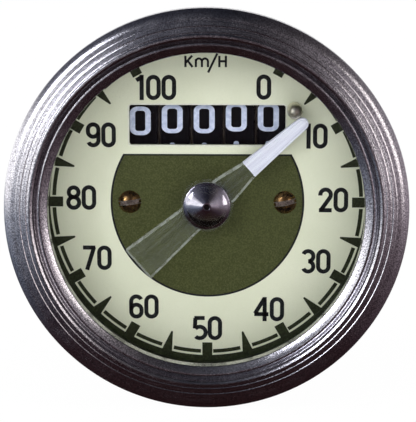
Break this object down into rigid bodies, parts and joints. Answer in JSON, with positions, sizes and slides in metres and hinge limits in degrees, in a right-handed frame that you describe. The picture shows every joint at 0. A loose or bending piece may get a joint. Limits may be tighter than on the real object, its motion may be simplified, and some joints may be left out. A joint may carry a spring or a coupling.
{
  "type": "speedometer",
  "caption": "Round magnetic speedometer for a small motorcycle, with a stepped chrome bezel, a drum distance counter and a threaded cable neck.",
  "frame": {"origin": "on the case's axis, in the plane of the bezel's back face, which rests on the panel", "axes": "-Y out of the dial towards the rider, +Y to the back along the case's axis, +Z to twelve o'clock, +X to the right as read"},
  "size_m": [0.066, 0.0675, 0.066],
  "materials": {
    "chrome_bezel": "plated, lightly pitted",
    "glass": "flat, polished",
    "rubber": "moulded, matt",
    "spacer_green": "dark green paint, satin",
    "dial_paint": "cream enamel with dark green and black print, satin",
    "bronze": "browned, slotted dome",
    "nickel": "polished nickel",
    "clear_acrylic": "clear acrylic, white paint on the front half",
    "chrome_cap": "polished",
    "brass": "turned",
    "steel": "ground",
    "aluminium": "spun, bright",
    "spring_steel": "blued",
    "plated_steel": "zinc plated",
    "magnet": "cast magnet alloy, ground",
    "nylon": "moulded",
    "drum_black": "moulded, black with pale printed digits",
    "brown_plate": "darkened sheet",
    "die_cast": "zinc alloy, as cast",
    "neck_metal": "turned and plated",
    "case_paint": "black stoving paint, satin",
    "bulb_glass": "small lamp with a metal cap"
  },
  "bodies": {
    "housing": {"bezel": "chrome_bezel", "glass": "glass", "glass_gasket": "rubber", "spacer_ring": "spacer_green", "dial": "dial_paint", "dial_screws": "bronze", "stop_pin": "nickel", "hairspring": "spring_steel", "regulator": "plated_steel", "top_bridge": "brass", "bridge_bush": "brass", "counter_frame": "plated_steel", "frame_pillars": "plated_steel", "pillar_screws": "plated_steel", "keeper_cup": "plated_steel", "carrier_plates": "brown_plate", "drum_shaft": "steel", "drum_washer": "plated_steel", "main_frame": "die_cast", "cable_neck": "neck_metal", "case_shell": "case_paint", "case_screws": "plated_steel", "bracket_studs": "plated_steel", "clamp_bracket": "plated_steel", "bracket_washers": "plated_steel", "bracket_nuts": "plated_steel", "lamp_holder": "plated_steel", "lamp_bulb": "bulb_glass"},
    "needle": {"pointer": "clear_acrylic", "hub_cap": "chrome_cap", "pointer_bush": "brass", "pointer_spindle": "steel", "speed_cup": "aluminium", "spring_collet": "brass"},
    "drive": {"drive_spindle": "steel", "magnet": "magnet"},
    "cross": {"cross_shaft": "steel", "cross_wheel": "brass"},
    "upright": {"upright_shaft": "steel", "upright_wheel": "brass"},
    "drum_body_1": {"drum_1": "drum_black", "drum_gear": "nylon"},
    "drum_body_2": {"drum_2": "drum_black"},
    "drum_body_3": {"drum_3": "drum_black"},
    "drum_body_4": {"drum_4": "drum_black"},
    "drum_body_5": {"drum_5": "drum_black"},
    "carry_1": {"carry_pinion_1": "nylon"},
    "carry_2": {"carry_pinion_2": "nylon"},
    "carry_3": {"carry_pinion_3": "nylon"},
    "carry_4": {"carry_pinion_4": "nylon"}
  },
  "joints": [
    {"name": "pointer_turn", "type": "hinge", "parent": "housing", "child": "needle", "pos_m": [0, 0, 0], "axis": [0, 1, 0], "range_deg": [0, 347], "stiffness_Nm_per_rad": 0.00006, "springref_deg": -34.38, "deforming": ["hairspring"]},
    {"name": "drive_turn", "type": "hinge", "parent": "housing", "child": "drive", "pos_m": [0, 0, 0], "axis": [0, 1, 0], "continuous": true},
    {"name": "cross_turn", "type": "hinge", "parent": "housing", "child": "cross", "pos_m": [0.00661, 0.04232, 0], "axis": [0, 0, 1], "continuous": true},
    {"name": "upright_turn", "type": "hinge", "parent": "housing", "child": "upright", "pos_m": [0.01546, 0, 0.00637], "axis": [0, -1, 0], "continuous": true},
    {"name": "drum_turn_1", "type": "hinge", "parent": "housing", "child": "drum_body_1", "pos_m": [0, 0.018, 0.013], "axis": [-1, 0, 0], "continuous": true},
    {"name": "drum_turn_2", "type": "hinge", "parent": "housing", "child": "drum_body_2", "pos_m": [0, 0.018, 0.013], "axis": [-1, 0, 0], "continuous": true},
    {"name": "drum_turn_3", "type": "hinge", "parent": "housing", "child": "drum_body_3", "pos_m": [0, 0.018, 0.013], "axis": [-1, 0, 0], "continuous": true},
    {"name": "drum_turn_4", "type": "hinge", "parent": "housing", "child": "drum_body_4", "pos_m": [0, 0.018, 0.013], "axis": [-1, 0, 0], "continuous": true},
    {"name": "drum_turn_5", "type": "hinge", "parent": "housing", "child": "drum_body_5", "pos_m": [0, 0.018, 0.013], "axis": [-1, 0, 0], "continuous": true},
    {"name": "carry_turn_1", "type": "hinge", "parent": "housing", "child": "carry_1", "pos_m": [0, 0.0236, 0.013], "axis": [-1, 0, 0], "continuous": true},
    {"name": "carry_turn_2", "type": "hinge", "parent": "housing", "child": "carry_2", "pos_m": [0, 0.0236, 0.013], "axis": [-1, 0, 0], "continuous": true},
    {"name": "carry_turn_3", "type": "hinge", "parent": "housing", "child": "carry_3", "pos_m": [0, 0.0236, 0.013], "axis": [-1, 0, 0], "continuous": true},
    {"name": "carry_turn_4", "type": "hinge", "parent": "housing", "child": "carry_4", "pos_m": [0, 0.0236, 0.013], "axis": [-1, 0, 0], "continuous": true}
  ],
  "couplings": [
    {"joint": "cross_turn", "follows": "drive_turn", "ratio": 0.05},
    {"joint": "upright_turn", "follows": "drive_turn", "ratio": 0.002},
    {"joint": "drum_turn_1", "follows": "drive_turn", "ratio": 0.0001},
    {"joint": "drum_turn_2", "follows": "drive_turn", "ratio": 0.00001},
    {"joint": "drum_turn_3", "follows": "drive_turn", "ratio": 0.000001},
    {"joint": "drum_turn_4", "follows": "drive_turn", "ratio": 0.0000001},
    {"joint": "drum_turn_5", "follows": "drive_turn", "ratio": 0.00000001},
    {"joint": "carry_turn_1", "follows": "drive_turn", "ratio": 0.000033333},
    {"joint": "carry_turn_2", "follows": "drive_turn", "ratio": 0.0000033333},
    {"joint": "carry_turn_3", "follows": "drive_turn", "ratio": 0.00000033333},
    {"joint": "carry_turn_4", "follows": "drive_turn", "ratio": 0.000000033333}
  ]
}
